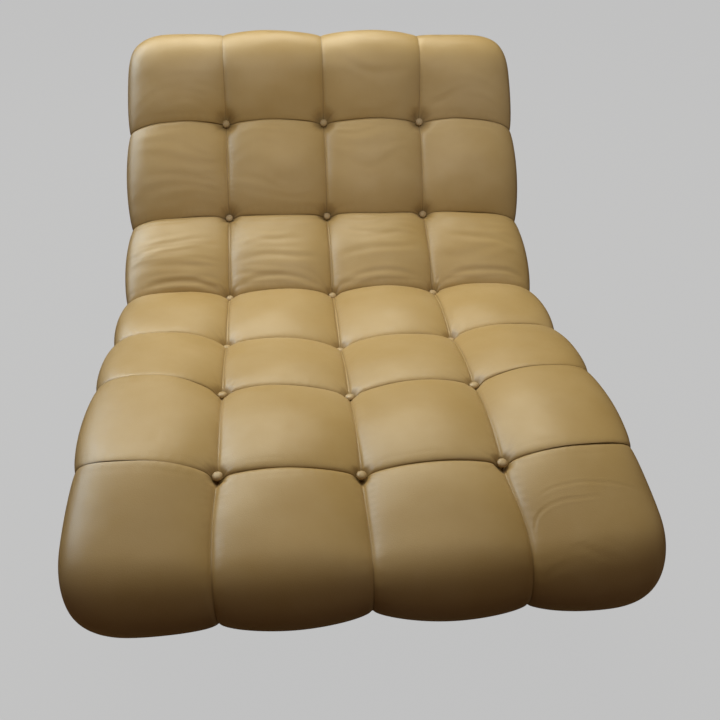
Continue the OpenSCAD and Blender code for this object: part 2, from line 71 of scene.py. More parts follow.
def setAll(thing, **values):
    for name, value in values.items():
        setattr(thing, name, value)


def addModifier(obj, kind, **settings):
    setAll(obj.modifiers.new(kind.title(), kind), **settings)


def applyModifiers(obj):
    pick(obj)
    for modifier in list(obj.modifiers):
        bpy.ops.object.modifier_apply(modifier=modifier.name)


def smoothByAngle(obj, angle):
    pick(obj)
    bpy.ops.object.shade_smooth_by_angle(angle=radians(angle))


def setMaterial(obj, material):
    obj.data.materials.clear()
    obj.data.materials.append(material)


def finishPiece(obj, angle, material, slot, *nodes):
    smoothByAngle(obj, angle)
    setMaterial(obj, material)
    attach(obj, chairBody)
    if nodes:
        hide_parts(*nodes)


def mix(a, b, t):
    return a + (b - a) * t


def clamp(t):
    return max(0.0, min(1.0, t))


def smoothStep(t):
    t = clamp(t)
    return t * t * (3 - 2 * t)


def bell(distance, width):  # works on arrays too
    return np.exp(-(distance / width) ** 2)


def meshPiece(name, points, faces):
    mesh = bpy.data.meshes.new(name)
    mesh.from_pydata([tuple(p) for p in points], [], faces)
    obj = bpy.data.objects.new(name, mesh)
    bpy.context.collection.objects.link(obj)
    return obj


def faceOutwards(obj):
    work = bmesh.new()
    work.from_mesh(obj.data)
    bmesh.ops.recalc_face_normals(work, faces=work.faces)
    work.to_mesh(obj.data)
    work.free()


def inOrder(obj):  # extruding leaves points and faces in an order that changes from run to run
    work = bmesh.new()
    work.from_mesh(obj.data)
    points = sorted(work.verts, key=lambda point: tuple(point.co))
    work.verts.sort(key={point: k for k, point in enumerate(points)}.get)
    faces = sorted(work.faces, key=lambda face: tuple(face.calc_center_median()))
    work.faces.sort(key={face: k for k, face in enumerate(faces)}.get)
    work.to_mesh(obj.data)
    work.free()


def joined(name, objs):
    pick(*objs)
    bpy.ops.object.join()
    obj = newest(name)
    settle(obj)
    faceOutwards(obj)
    return obj


def pointsOf(obj):
    found = np.empty(3 * len(obj.data.vertices))
    obj.data.vertices.foreach_get("co", found)
    return found.reshape(-1, 3)


def movePoints(obj, points):
    obj.data.vertices.foreach_set("co", points.ravel())
    obj.data.update()


# The line of the buttons, seen from the side as (y, z), as the frame has it

pad = {
    "tuftWidth": 0.185,
    "tuftLength": 0.181,
    "crestRun": 0.103,
    "noseRun": 0.116,
    "backSlopes": (27.8, 53.5, 61.7),  # from the waist up
    "seatRises": (4.8, 11.7, 2.7, -20),  # from the waist to the nose
    "waistHeight": 0.270,
    "railBehindWaist": 0.070,
    "halfCore": 0.040,  # half of the pad's thickness below the buttons
}
rows = 7
columns = 4
seatStart = 4  # the first row of the seat, in front of the waist
rollLength = pi * pad["halfCore"]

# Across the chair a place is a tuft coordinate: whole numbers on the column seams, 0 on the middle one
columnSeams = (-1, 0, 1)
flankStart = (columns - 1) / 2  # the outermost tufts' middles, where the flanks begin
weltAt = flankStart + 1


def lineFrom(start, slopes, lastLength):
    found = [start]
    for k, slope in enumerate(slopes):
        length = lastLength if k == len(slopes) - 1 else pad["tuftLength"]
        found.append(found[-1] + Vector((length * cos(radians(slope)), length * sin(radians(slope)))))
    return found


waist = Vector((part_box("rail_left")[1].y - pad["railBehindWaist"], pad["waistHeight"]))
backLine = lineFrom(waist, pad["backSlopes"], pad["crestRun"])
seatLine = lineFrom(waist, [180 - rise for rise in pad["seatRises"]], pad["noseRun"])
buttonLine = backLine[:0:-1] + seatLine  # from the top of the back to the nose


def turned(v, angle):
    c, s = cos(radians(angle)), sin(radians(angle))
    return Vector((v.x * c - v.y * s, v.x * s + v.y * c))


def faceOf(i):  # which way stretch i of the line faces
    return turned((buttonLine[i + 1] - buttonLine[i]).normalized(), -90)


def mitre(i):  # keeps every layer parallel to the line
    if i == 0:
        return faceOf(0)
    if i == rows:
        return faceOf(rows - 1)
    before, after = faceOf(i - 1), faceOf(i)
    return (before + after) / (1 + before.dot(after))


def rolled(i, angle):
    n = turned(mitre(i), angle)
    centre = buttonLine[i] - pad["halfCore"] * mitre(i)
    return centre + pad["halfCore"] * n, n


def rowLength(row):
    if row == 1:
        return rollLength + pad["crestRun"]
    if row == rows:
        return rollLength + pad["noseRun"]
    return pad["tuftLength"]


def station(row, v):  # a point of the line and the offset there, at part v of a row
    if row == 1:
        s = v * rowLength(row)
        if s < rollLength:
            return rolled(0, -180 * (1 - s / rollLength))
        t = (s - rollLength) / pad["crestRun"]
    elif row == rows:
        s = v * rowLength(row)
        if s > pad["noseRun"]:
            return rolled(rows, 180 * (s - pad["noseRun"]) / rollLength)
        t = s / pad["noseRun"]
    else:
        t = v
    i = row - 1
    return mix(buttonLine[i], buttonLine[i + 1], t), mix(mitre(i), mitre(i + 1), t)


def lift(row, v, x, height):
    point, offset = station(row, v)
    return Vector((x, point.x + height * offset.x, point.y + height * offset.y))


# Leather

leatherLook = {
    "colour": (0.475, 0.332, 0.136),
    "pale": (0.515, 0.372, 0.172),
    "ochre": (0.445, 0.3, 0.108),
    "toneSize": 0.16,  # of the patches over which the colour wanders
    # dark colour of the shade painted into the tufts along the seams, round the buttons and in the pleats
    "seam": (0.15, 0.088, 0.032),
    "roughness": (0.36, 0.48),
    "scuffScale": 38.0,
    "gloss": 0.42,
    "pebble": 0.0013,  # size of a grain
    "grainDepth": 0.0001,
    "poreScale": 2600.0,
    "poreDepth": 0.00005,
}
buttonLook = {
    **leatherLook,
    "colour": (0.48, 0.35, 0.175),
    "pale": (0.53, 0.41, 0.23),
    "ochre": (0.42, 0.3, 0.13),
}


def wire(tree, node, **settings):  # sets a node's inputs and properties, or links the socket that is given
    for name, value in settings.items():
        if isinstance(value, bpy.types.NodeSocket):
            tree.links.new(value, node.inputs[name])
        elif name in node.inputs:
            node.inputs[name].default_value = value
        else:
            setattr(node, name, value)
    return node


def addNode(tree, kind, **settings):
    return wire(tree, tree.nodes.new(kind), **settings)


def addRamp(tree, source, stops):
    ramp = addNode(tree, "ShaderNodeValToRGB", Fac=source)
    elements = ramp.color_ramp.elements
    for position, colour in stops[1:-1]:
        elements.new(position)
    for element, (position, colour) in zip(elements, stops):
        element.position = position
        element.color = (*colour, 1)
    return ramp.outputs["Color"]


def addShade(tree, amount, colour, dark):  # mixes a dark colour into another
    node = addNode(tree, "ShaderNodeMix", data_type="RGBA")
    tree.links.new(amount, node.inputs[0])
    tree.links.new(colour, node.inputs[6])
    node.inputs[7].default_value = (*dark, 1)
    return node.outputs[2]


def addBump(tree, height, depth, **below):
    bump = addNode(tree, "ShaderNodeBump", Strength=1.0, Distance=depth, Height=height, **below)
    return bump.outputs["Normal"]


def addRange(tree, source, ends):  # spreads the middle of a noise over a range
    spread = {"From Min": 0.3, "From Max": 0.7, "To Min": ends[0], "To Max": ends[1]}
    return addNode(tree, "ShaderNodeMapRange", Value=source, **spread).outputs["Result"]


def addNoise(tree, place, scale, detail=2.0, roughness=0.5):
    look = {"Scale": scale, "Detail": detail, "Roughness": roughness}
    return addNode(tree, "ShaderNodeTexNoise", Vector=place, **look).outputs["Fac"]


def newMaterial(name):  # with its node tree and the coordinates in the piece's own space
    material = bpy.data.materials.new(name)
    material.use_nodes = True
    tree = material.node_tree
    return material, tree, tree.nodes.new("ShaderNodeTexCoord").outputs["Object"]


def setShader(tree, colour, roughness, normal, **rest):
    main = {"Base Color": colour, "Roughness": roughness, "Normal": normal}
    wire(tree, tree.nodes["Principled BSDF"], **main, **rest)


def leatherMaterial(name, look, paintSeamShade=False):
    material, tree, place = newMaterial(name)
    tone = addNoise(tree, place, 1 / look["toneSize"], 4.0, 0.55)
    colour = addRamp(tree, tone, [(0.30, look["ochre"]), (0.5, look["colour"]), (0.72, look["pale"])])
    # painted shade: the dark colour is mixed in along the seams, round the buttons and in the pleats, by the
    # mask that pressDetails leaves on the points
    if paintSeamShade:
        depth = addNode(tree, "ShaderNodeAttribute", attribute_name="paintedSeamShade")
        colour = addShade(tree, depth.outputs["Fac"], colour, look["seam"])
    scuff = addNoise(tree, place, look["scuffScale"], 5.0, 0.6)
    grains = {"Vector": place, "Scale": 1 / look["pebble"], "feature": "SMOOTH_F1"}
    pebbles = addNode(tree, "ShaderNodeTexVoronoi", **grains)
    grain = addBump(tree, pebbles.outputs["Distance"], -look["grainDepth"])
    grain = addBump(tree, addNoise(tree, place, look["poreScale"]), look["poreDepth"], Normal=grain)
    gloss = {"Specular IOR Level": look["gloss"]}
    setShader(tree, colour, addRange(tree, scuff, look["roughness"]), grain, **gloss)
    return material


tuftLeather = leatherMaterial("tuftLeather", leatherLook, paintSeamShade=True)
coverLeather = leatherMaterial("coverLeather", leatherLook)
buttonLeather = leatherMaterial("buttonLeather", buttonLook)
print("leather ready")


# Tufted rows

tuft = {
    "seamRise": 0.027,  # how far a seam across the chair rises between two buttons
    "columnRise": 0.019,  # the same for a seam along the chair
    "topColumnRise": 0.031,  # the same over the top of the back
    "topColumnFade": (0.35, 0.85),  # parts of the top row between which that passes into the other
    "archPower": 0.5,  # below 1 the seams rise faster beside the buttons
    "pitRadii": (0.008, 0.015, 0.013, 0.008, 0.008, 0.008, 0.008, 0.008),  # of the dips, seam by seam
    "pitPower": 3,  # steepness of their walls
    "crown": 0.014,  # how far a tuft's middle stands above its seams
    "seamPower": 0.6,  # below 1 a tuft is fuller beside its seams
    "topDrop": 0.009,  # how much lower the outermost tufts of the top row are
    "outerRise": 0.018,  # how far the seat's outermost tufts stand above the others at their seams
    "outerCrown": 0.010,  # the same in their middles
    "outerParts": (0, 0, 0, 0, 0.6, 1, 1),  # how much of that each seam across the chair has
    "outerEnd": 0.55,  # part of the nose at which it is lost again
    "rightPart": 0.6,  # how much of it the right side has
    "sideReach": 0.086,  # from the outermost tufts' middles to their widest line
    "sidePuff": 0.010,  # how much further their middles bulge
    "sideTuck": 0.007,  # from the widest line in to the side welt
    "sideLevel": -0.002,  # height of the widest line
    "sideLeast": 0.15,  # part of their shape that the flanks keep at the ends of the pad
    "sidePower": 2.8,  # squareness of the flanks
    "tuckPart": 0.25,  # part of a flank that lies below its widest line
    "seatSag": 0.012,  # how much lower the seat's middle lies
    "fadePart": 0.4,  # part of the end rows over which they flatten into the rear cover
    "cornerDraw": 0.006,  # how far the corners of the end rows draw in
    "cornerPower": 2.2,  # squareness of the flanks there
    "topCornerPower": 2.7,  # the same on the top row
    "noseCorner": 0.6,  # part of the nose over which its corners draw in
    # How far each seam across the chair runs towards the waist on the sides, from the top of the back down
    "seamDrift": (0, 0.024, 0.024, 0.016, -0.002, -0.012, -0.015, 0),
    "driftStart": 1.25,  # tuft coordinate where that starts
    # How far the middles of the inner tufts' seams run away from the waist
    "seamArch": (0, 0.004, -0.005, 0, 0, 0, 0, 0),
    "noseLean": 0.013,  # how far the nose's right seam has moved outwards below the buttons
    "noseBow": 0.006,  # how far its left seam bows outwards
    "weltHalf": 0.003,  # half of the side seam's height
    "innerSide": 0.3136,  # where the space inside the pad ends
    "fillDepth": 0.020,  # how deep the wadding goes below the buttons
    "endGap": 0.0003,  # between a row's end and the plane it shares with the next row
    "cellsAcross": 22,  # across one tuft, before the two subdivisions
    "cellsSide": 16,  # across one flank
    "cellSize": 0.0080,  # along the row
    "seamCrowding": 0.80,  # how far the cells crowd towards the seams
}
cellsWide = 2 * tuft["cellsSide"] + (columns - 1) * tuft["cellsAcross"]
onEdge = 1e-4  # a point this near a seam or an edge lies on it


def puff(a, b, extra, columnRise, pitRadius):  # a and b are 0 on a tuft's seams and 1 in its middle
    across, along = a ** tuft["archPower"], b ** tuft["archPower"]
    away = hypot(pad["tuftWidth"] * asin(min(a, 1.0)), pad["tuftLength"] * asin(min(b, 1.0))) / pi
    pit = 1 - exp(-(away / pitRadius) ** tuft["pitPower"])
    seams = tuft["seamRise"] * across + extra * a + columnRise * along * (1 - across)
    return pit * (seams + tuft["crown"] * (a * b) ** tuft["seamPower"])


def fromEnd(row, v):  # 0 at the ends of the pad, 1 where the first and last seams lie
    if row == 1:
        return v
    if row == rows:
        return 1 - v
    return 1.0


def fade(row, v):
    return sin(pi / 2 * clamp(fromEnd(row, v) / tuft["fadePart"]))


def sag(row, x, v):
    if row < seatStart:
        return 0.0
    share = 1.0
    if row == seatStart:
        share = sin(pi / 2 * v)
    if row == rows:
        share = cos(pi / 2 * v)
    middle = max(0.0, 1 - abs(x) / pad["tuftWidth"])
    return tuft["seatSag"] * middle * share * fade(row, v)


def outerLift(row, q, v):  # the seat's outermost tufts, held on one side only, puff up higher
    if abs(q) <= columnSeams[-1]:
        return 0.0
    if row == 1:
        return -tuft["topDrop"] * cos(pi / 2 * v)
    full = max(0.0, sin(pi * v)) ** tuft["seamPower"]
    if row < rows:
        share = mix(tuft["outerParts"][row - 1], tuft["outerParts"][row], v)
    else:
        share = cos(pi / 2 * v / tuft["outerEnd"])
    if q > 0:
        share *= tuft["rightPart"]
    return share * mix(tuft["outerRise"], tuft["outerCrown"], full)


def innerPoint(row, q, v):
    rise = tuft["columnRise"]
    if row == 1:
        start, end = tuft["topColumnFade"]
        rise = mix(tuft["topColumnRise"], rise, smoothStep((v - start) / (end - start)))
    radius = tuft["pitRadii"][row - 1 if v < 0.5 else row]
    x = q * pad["tuftWidth"]
    height = puff(abs(sin(pi * q)), max(0.0, sin(pi * v)), outerLift(row, q, v), rise, radius)
    return x, height * fade(row, v) - sag(row, x, v)


def grownSide(row, v):  # how much of their full shape the flanks have
    if row == rows:
        return smoothStep(fromEnd(row, v) / tuft["noseCorner"])
    return fromEnd(row, v)


def flankPoint(row, q, v):
    side = 1 if q > 0 else -1
    full = max(0.0, sin(pi * v)) ** tuft["seamPower"]
    grown = grownSide(row, v)
    left = mix(tuft["sideLeast"], 1, grown)
    extra = outerLift(row, side * flankStart, v)
    top = (tuft["seamRise"] + extra + tuft["crown"] * full) * fade(row, v)
    low = tuft["weltHalf"] - pad["halfCore"]
    level = mix(low, tuft["sideLevel"], left)
    bulge = (tuft["sideTuck"] + tuft["sidePuff"] * full) * left
    reach = tuft["sideReach"] - tuft["sideTuck"] + bulge - tuft["cornerDraw"] * (1 - grown)
    part = weltAt - abs(q)
    if part < tuft["tuckPart"]:
        angle = pi / 2 * part / tuft["tuckPart"]
        x = reach - bulge * (1 - sin(angle))
        height = level - (level - low) * cos(angle)
    else:
        angle = pi / 2 * (part - tuft["tuckPart"]) / (1 - tuft["tuckPart"])
        cornerPower = tuft["topCornerPower"] if row == 1 else tuft["cornerPower"]
        bend = 2 / mix(cornerPower, tuft["sidePower"], grown)
        x = reach * max(0.0, cos(angle)) ** bend
        height = level + (top - level) * max(0.0, sin(angle)) ** bend
    return side * (flankStart * pad["tuftWidth"] + x), height


def tuftPoint(row, q, v):  # where the leather lies over the line, as (x, height)
    if abs(q) <= flankStart:
        return innerPoint(row, q, v)
    return flankPoint(row, q, v)


def drift(row, q, v):  # the sideways ends of the seams are drawn along the pad, towards the waist
    amount = mix(tuft["seamDrift"][row - 1], tuft["seamDrift"][row], v)
    part = smoothStep((abs(q) - tuft["driftStart"]) / (weltAt - tuft["driftStart"]))
    arch = mix(tuft["seamArch"][row - 1], tuft["seamArch"][row], v)
    arch *= sin(pi * min(abs(q), flankStart)) ** 2
    way = turned(mix(mitre(row - 1), mitre(row), v).normalized(), 90)
    along = way * (amount * part - arch * (1 - part))
    if row < rows:
        return Vector((0, along.x, along.y))
    lean = tuft["noseLean"] * exp(-((q - 1.1) / 0.9) ** 2) * smoothStep(2 * v)
    bow = tuft["noseBow"] * exp(-((q + 1) / 0.6) ** 2) * sin(pi * clamp(v / 0.8))
    return Vector((lean - bow, along.x, along.y))


def crowded(t):  # spreads cells so that they are finest beside the seams
    return mix(t, 0.5 - 0.5 * cos(pi * t), tuft["seamCrowding"])


def acrossAt(t):  # cell number to tuft coordinate
    if t > cellsWide / 2:
        return -acrossAt(cellsWide - t)
    if t < tuft["cellsSide"]:
        return -weltAt + t / tuft["cellsSide"]
    c = (t - tuft["cellsSide"]) / tuft["cellsAcross"] + 0.5
    return columnSeams[0] - 1 + int(c) + crowded(c - int(c))


def isHeld(q, v):  # on the seams and edges that the sewing holds
    onRowSeam = min(v, 1 - v) < onEdge
    onWelt = abs(q) > weltAt - 0.001
    onColumnSeam = abs(q - round(q)) < onEdge and abs(q) < flankStart
    return onRowSeam or onWelt or onColumnSeam


def rowSheet(row):  # the top leather of one row as a grid that follows the line
    along = 2 * round(rowLength(row) / tuft["cellSize"] / 2)
    bpy.ops.mesh.primitive_grid_add(x_subdivisions=cellsWide, y_subdivisions=along, size=1)
    sheet = newest(f"leather_row_{row}")
    end = tuft["endGap"] / rowLength(row)
    held = sheet.vertex_groups.new(name="held")
    for vertex in sheet.data.vertices:
        q = acrossAt((vertex.co.x + 0.5) * cellsWide)
        v = crowded(0.5 - vertex.co.y)
        if isHeld(q, v):
            held.add([vertex.index], 1.0, "REPLACE")
        x, height = tuftPoint(row, q, v)
        vertex.co = lift(row, mix(end, 1 - end, v), x, height) + drift(row, q, v)
    return sheet


swelling = {
    "uniform_pressure_force": 4.0,
    "tension_stiffness": 25,
    "compression_stiffness": 25,
    "bending_stiffness": 2,
    "quality": 5,
}
swellFrames = 20
mostSwelling = 0.003  # how far the filling may push a point out


def swell(sheets):  # the filling pushes the leather out between its seams
    starts = [pointsOf(sheet) for sheet in sheets]
    for sheet in sheets:
        pick(sheet)
        bpy.ops.object.modifier_add(type="CLOTH")
        cloth = sheet.modifiers[-1]
        setAll(cloth.settings, vertex_group_mass="held", use_pressure=True, **swelling)
        cloth.settings.effector_weights.gravity = 0
        cloth.collision_settings.use_collision = False
        cloth.point_cache.frame_end = swellFrames
    for frameNumber in range(1, swellFrames + 1):
        bpy.context.scene.frame_set(frameNumber)
    for sheet, start in zip(sheets, starts):
        applyModifiers(sheet)
        move = pointsOf(sheet) - start
        far = np.linalg.norm(move, axis=1, keepdims=True)
        shorter = mostSwelling * np.tanh(far / mostSwelling)
        movePoints(sheet, start + move * (shorter / np.maximum(far, 1e-9)))
        print(sheet.name, "swelled by", round(1000 * float(far.max()), 1), "mm before the limit")
    bpy.context.scene.frame_set(1)


def rowPlaces(sheet):  # tuft coordinate and part of the row for each point, from the grid's own map
    mesh = sheet.data
    corners = np.empty(2 * len(mesh.loops))
    mesh.uv_layers.active.data.foreach_get("uv", corners)
    owner = np.empty(len(mesh.loops), dtype=int)
    mesh.loops.foreach_get("vertex_index", owner)
    places = np.zeros((len(mesh.vertices), 2))
    places[owner] = corners.reshape(-1, 2)
    steps, which = np.unique(np.round(places[:, 0] * cellsWide, 3), return_inverse=True)
    q = np.array([acrossAt(t) for t in steps])[which]
    v = np.array([crowded(1 - t) for t in places[:, 1]])
    return q, v


# Creases and gathers in the leather

crease = {
    "ridges": {3: 0.6, 4: 0.9, 5: 0.7, 6: 0.25},  # rows whose column seams have a strip that stands up
    "ridgeHigh": 0.0005,
    "ridgeWide": 0.0005,
    "grooveDeep": 0.0005,
    "grooveAway": 0.0011,
    "levels": {1: 0.6, 2: 0.6, 3: 1.0},  # how strongly a row is creased
    "restLevel": 0.4,  # the same for the other rows
    "pleats": 3,  # in each quarter round a button
    "pleatAngles": (14, 76),  # from the row seam, in degrees
    "pleatDeep": (0.0004, 0.0012),
    "pleatLong": (0.018, 0.046),
    "pleatStart": 0.008,  # over which a pleat grows, from the button out
    "pleatWide": (0.0009, 0.055),  # half of it at the button, and how much that gains on the way out
    "gatherDeep": 0.00010,
    "gatherSpacing": 0.011,
    "gatherAway": (0.008, 0.007),  # of their middles from column and row seams
    "gatherWide": 0.006,
    "edgeFold": 0.0004,  # the fold beside a row seam
    "edgeFoldAway": 0.012,
    "calmButton": 0.016,  # beside a button, a row seam and a column seam the leather has no folds
    "calmRow": 0.02,
    "calmColumn": 0.03,
    "innerEnd": 2.15,  # tuft coordinate up to which the sides have gathers
    "unevenness": 0.0016,
    "unevenSize": (0.085, 0.06),
    "waistFolds": 0.0011,  # of the row above the waist
    "backFolds": 0.0006,  # of the rows above it
}
# Strength and width of the shade painted into the tufts' colour along the seams, round the buttons and in the
# pleats
seamShade = {
    "rowSeam": 0.32,
    "rowWide": 0.0010,
    "columnSeam": 0.50,
    "columnWide": 0.0006,
    "button": 0.45,
    "buttonWide": {1: 0.012, 2: 0.012},
    "buttonLeast": 0.007,  # the same in the other rows
    "pleat": 0.22,
}
farAway = 1.0  # added where a row has no seam at its end
# Creases seen in the photograph: depth, half width, points as (tuft coordinate, part of the row)
lumbarCreases = [
    (0.0008, 0.0065, [(-1.88, 0.5), (-1.7, 0.47), (-1.54, 0.42), (-1.24, 0.34)]),
    (0.0014, 0.005, [(-1.7, 0.92), (-1.5, 0.9), (-1.3, 0.91), (-1.08, 0.97)]),
    (0.0007, 0.0065, [(-1.8, 0.7), (-1.5, 0.7), (-1.22, 0.74)]),
    (0.0007, 0.0065, [(-0.75, 0.36), (-0.5, 0.39), (-0.28, 0.36)]),
    (0.0009, 0.006, [(-0.9, 0.62), (-0.62, 0.6), (-0.35, 0.63), (-0.15, 0.62)]),
    (0.0009, 0.0055, [(-0.92, 0.92), (-0.7, 0.87), (-0.4, 0.87), (-0.1, 0.94)]),
    (0.0009, 0.0055, [(0.1, 0.94), (0.3, 0.87), (0.55, 0.84), (0.85, 0.88)]),
    (0.0008, 0.0065, [(0.12, 0.6), (0.4, 0.55), (0.7, 0.53), (0.88, 0.5)]),
    (0.0006, 0.0065, [(0.25, 0.3), (0.5, 0.33), (0.75, 0.3)]),
    (0.001, 0.0055, [(1.1, 0.92), (1.35, 0.86), (1.65, 0.86), (1.92, 0.9)]),
    (0.0007, 0.0065, [(1.2, 0.36), (1.5, 0.42), (1.8, 0.5)]),
]
noseCreases = [
    (0.0005, 0.0015, [(1.13, 0.26), (1.23, 0.23), (1.36, 0.22), (1.48, 0.22), (1.66, 0.25), (1.85, 0.29)]),
    (0.0006, 0.0015, [(1.04, 0.42), (1.08, 0.36), (1.16, 0.32), (1.28, 0.3), (1.41, 0.3), (1.52, 0.3)]),
    (0.0006, 0.0015, [(1.22, 0.52), (1.3, 0.51), (1.36, 0.52), (1.45, 0.54), (1.55, 0.55)]),
    (0.0005, 0.0015, [(1.06, 0.6), (1.12, 0.57), (1.25, 0.55)]),
    (0.0004, 0.0013, [(1.48, 0.49), (1.6, 0.55), (1.68, 0.61)]),
]
creases = {3: lumbarCreases, rows: noseCreases}


def curved(line):  # more points along a smooth curve through the given ones
    line = [np.array(p) for p in line]
    ends = [2 * line[0] - line[1], *line, 2 * line[-1] - line[-2]]
    found = []
    for before, a, b, after in zip(ends, ends[1:], ends[2:], ends[3:]):
        for t in (0, 0.25, 0.5, 0.75):
            found.append(a + (b - before) * t / 2 + (2 * before - 5 * a + 4 * b - after) * t ** 2 / 2
                         + (3 * a - before - 3 * b + after) * t ** 3 / 2)
    return found + [line[-1]]


def creaseDepth(x, s, line, depth, halfWidth):  # a soft valley along a line of points, fading at its ends
    nearest = np.full(len(x), 1.0)
    share = np.zeros(len(x))
    for k in range(len(line) - 1):
        ax, ay = line[k]
        bx, by = line[k + 1]
        length = (bx - ax) ** 2 + (by - ay) ** 2
        t = np.clip(((x - ax) * (bx - ax) + (s - ay) * (by - ay)) / length, 0, 1)
        away = np.hypot(x - ax - t * (bx - ax), s - ay - t * (by - ay))
        closer = away < nearest
        nearest = np.where(closer, away, nearest)
        share = np.where(closer, (k + t) / (len(line) - 1), share)
    fading = np.sqrt(np.clip(np.sin(pi * np.clip(share, 0.02, 0.98)), 0, 1))
    lip = 0.45 * bell(nearest - 2.1 * halfWidth, halfWidth)
    return depth * fading * (bell(nearest, halfWidth) - lip)


def noiseAt(x, y, layer):
    return np.array([noise.noise(Vector((a, b, layer))) for a, b in zip(x, y)])


def seamDistances(row, q, s):  # from each point to the nearest column seam, row seam and button
    nearest = np.clip(np.round(q), columnSeams[0], columnSeams[-1])
    columnAway = np.abs(q - nearest) * pad["tuftWidth"]
    fromFirst = s if row > 1 else s + farAway
    fromLast = rowLength(row) - s if row < rows else rowLength(row) - s + farAway
    rowAway = np.minimum(fromFirst, fromLast)
    return columnAway, rowAway, np.hypot(columnAway, rowAway)


def pleatsAround(across, along, towards, level, dice):  # depth and share of the pleats at one button
    pleats = np.zeros((2, len(across)))
    wide, widening = crease["pleatWide"]
    for quarter in (-1, 1):
        for k in range(crease["pleats"]):
            angle = radians(mix(*crease["pleatAngles"], (k + dice.uniform(0.2, 0.8)) / crease["pleats"]))
            ux, uy = quarter * cos(angle), towards * sin(angle)
            forward = across * ux + along * uy
            aside = np.abs(across * uy - along * ux)
            reach = dice.uniform(*crease["pleatLong"])
            deep = dice.uniform(*crease["pleatDeep"]) * level
            fall = np.clip(1 - forward / reach, 0, 1) ** 1.3 * np.clip(forward / crease["pleatStart"], 0, 1)
            pleat = fall * bell(aside, wide + widening * np.clip(forward, 0, 1))
            pleats += deep * pleat, pleat
    return pleats


def rowPleats(row, q, v):
    level = crease["levels"].get(row, crease["restLevel"])
    dice = random.Random(40 + row)
    pleats = np.zeros((2, len(q)))
    for seam in columnSeams:
        for end in (0, 1):
            if (row == 1 and end == 0) or (row == rows and end == 1):
                continue
            across, along = (q - seam) * pad["tuftWidth"], (v - end) * rowLength(row)
            pleats += pleatsAround(across, along, 1 - 2 * end, level, dice)
    return pleats


def gathersAt(x, s, waves, columnAway, rowAway, openPart):  # small waves beside the seams
    spacing, wide = crease["gatherSpacing"], crease["gatherWide"]
    fromColumn, fromRow = crease["gatherAway"]
    besideColumns = np.sin(2 * pi * s / spacing + 5 * waves) * bell(columnAway - fromColumn, wide)
    besideRows = np.sin(2 * pi * x / spacing * 0.8 + 5 * waves) * bell(rowAway - fromRow, wide)
    return crease["gatherDeep"] * (besideColumns + besideRows) * openPart


def looseFolds(row, x, s, v, calm):  # the slack leather of the back lies in soft folds
    waver = noiseAt(x / 0.11, s / 0.11, 0.2 + 5.3 * row)
    folds = noiseAt(x / 0.075, s / 0.017 + 3.2 * waver, 0.8 + 7.7 * row)
    amount = crease["backFolds"]
    if row == seatStart - 1:
        amount = crease["waistFolds"] * np.clip(0.35 + v, 0, 1)
    return amount * folds * calm


def pressDetails(sheet, row):  # moves each point along its normal, and marks where shade is painted into the colour: along the seams, round the buttons and in the pleats
    mesh = sheet.data
    q, v = rowPlaces(sheet)
    normals = np.empty(3 * len(mesh.vertices))
    mesh.vertices.foreach_get("normal", normals)
    width, length = pad["tuftWidth"], rowLength(row)
    x, s = q * width, v * length
    columnAway, rowAway, buttonAway = seamDistances(row, q, s)
    inner = np.clip((crease["innerEnd"] - np.abs(q)) / 0.4, 0, 1)
    openPart = np.clip(buttonAway / crease["calmButton"], 0, 1)
    besideRow = np.clip(rowAway / crease["calmRow"], 0, 1)
    besideColumn = np.clip(columnAway / crease["calmColumn"], 0, 1)
    level = crease["levels"].get(row, crease["restLevel"])
    ridge = crease["ridges"].get(row, 0.0) * openPart
    groove = columnAway - crease["grooveAway"]
    move = crease["ridgeHigh"] * bell(columnAway, crease["ridgeWide"]) * ridge
    move -= crease["grooveDeep"] * bell(groove, 0.0005) * ridge
    pleatDepth, pleatShare = rowPleats(row, q, v)
    move -= pleatDepth
    waves = noiseAt(x / 0.045, s / 0.045, 3.1 * row)
    move += gathersAt(x, s, waves, columnAway, rowAway, openPart) * inner
    fold = bell(rowAway - crease["edgeFoldAway"] - 0.003 * waves, 0.0035) * np.clip(0.5 + 1.5 * waves, 0, 1)
    move -= crease["edgeFold"] * level * fold * besideColumn
    uneven = noiseAt(x / crease["unevenSize"][0], s / crease["unevenSize"][1], 0.5 + 11.7 * row)
    move += crease["unevenness"] * uneven * inner
    if row < seatStart:
        move += looseFolds(row, x, s, v, besideRow * besideColumn * inner)
    for deep, halfWidth, line in creases.get(row, []):
        move -= creaseDepth(x, s, [(a * width, b * length) for a, b in curved(line)], deep, halfWidth)
    movePoints(sheet, pointsOf(sheet) + normals.reshape(-1, 3) * move[:, None])
    # painted shade as a mask: darker along the row and column seams, round the buttons and in the pleats
    darkness = seamShade["rowSeam"] * bell(rowAway, seamShade["rowWide"])
    columnLine = columnAway - crease["grooveAway"] * ridge
    darkness += seamShade["columnSeam"] * bell(columnLine, seamShade["columnWide"])
    buttonWide = seamShade["buttonWide"].get(row, seamShade["buttonLeast"])
    darkness += seamShade["button"] * bell(buttonAway, buttonWide) + seamShade["pleat"] * pleatShare
    depth = mesh.attributes.new("paintedSeamShade", "FLOAT", "POINT")
    depth.data.foreach_set("value", np.clip(darkness, 0, 1))


def edgeOf(work, place, at, order):  # the open edge's points at one value of a place, in order of the other
    found = [p for p in work.verts if p.is_boundary and abs(place[p.index] - at) < onEdge]
    return sorted(found, key=lambda p: order[p.index])


